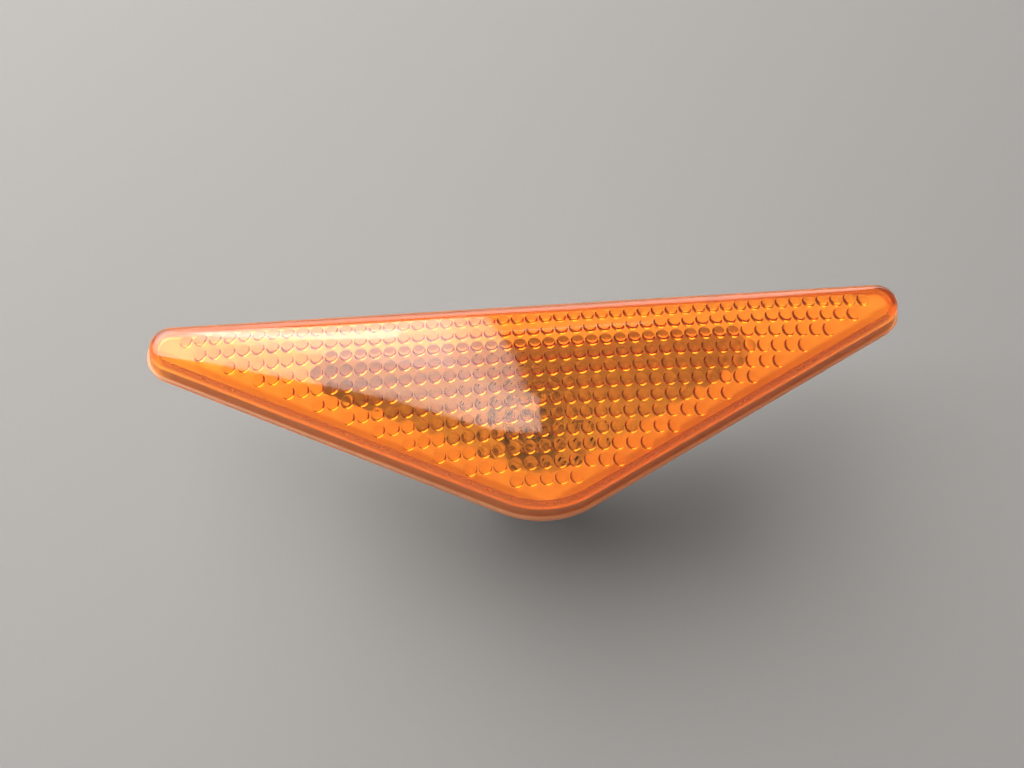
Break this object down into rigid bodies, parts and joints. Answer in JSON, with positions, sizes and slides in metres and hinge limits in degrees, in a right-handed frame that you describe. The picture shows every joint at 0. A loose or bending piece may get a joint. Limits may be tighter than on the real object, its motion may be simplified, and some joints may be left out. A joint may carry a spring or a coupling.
{
  "type": "side repeater lamp",
  "caption": "Amber side repeater lamp for a car wing: long triangular domed lens with inner pillows, pale rear housing with bulb pocket, foam gasket, twist-lock holder and capless bulb.",
  "frame": {"origin": "where the bulb's axis crosses the plane of the wing panel, on which the gasket rests", "axes": "+Z out of the lens along the bulb's axis, +X along the long straight edge of the lens, +Y from the blunt point towards that edge"},
  "size_m": [0.12, 0.0348, 0.0448],
  "materials": {
    "amber_lens": "clear moulded acrylic, dyed amber, polished outside and pillowed inside",
    "housing": "pale grey moulded plastic",
    "gasket": "pale grey closed-cell foam",
    "holder": "mid grey glass-filled plastic",
    "seal": "moulded rubber",
    "contact": "stamped strip",
    "bulb_glass": "clear blown glass",
    "bulb_wire": "drawn wire"
  },
  "bodies": {
    "lamp": {"lens": "amber_lens", "rear_housing": "housing", "panel_gasket": "gasket"},
    "holder": {"bulb_holder": "holder", "holder_seal": "seal", "contact_feed": "contact", "contact_earth": "contact", "bulb_glass": "bulb_glass", "bulb_lead_feed": "bulb_wire", "bulb_lead_earth": "bulb_wire", "bulb_filament": "bulb_wire"}
  },
  "joints": [
    {"name": "holder_twist", "type": "hinge", "parent": "lamp", "child": "holder", "pos_m": [0, 0, -0.021], "axis": [0, 0, -1], "range_deg": [0, 45]}
  ]
}
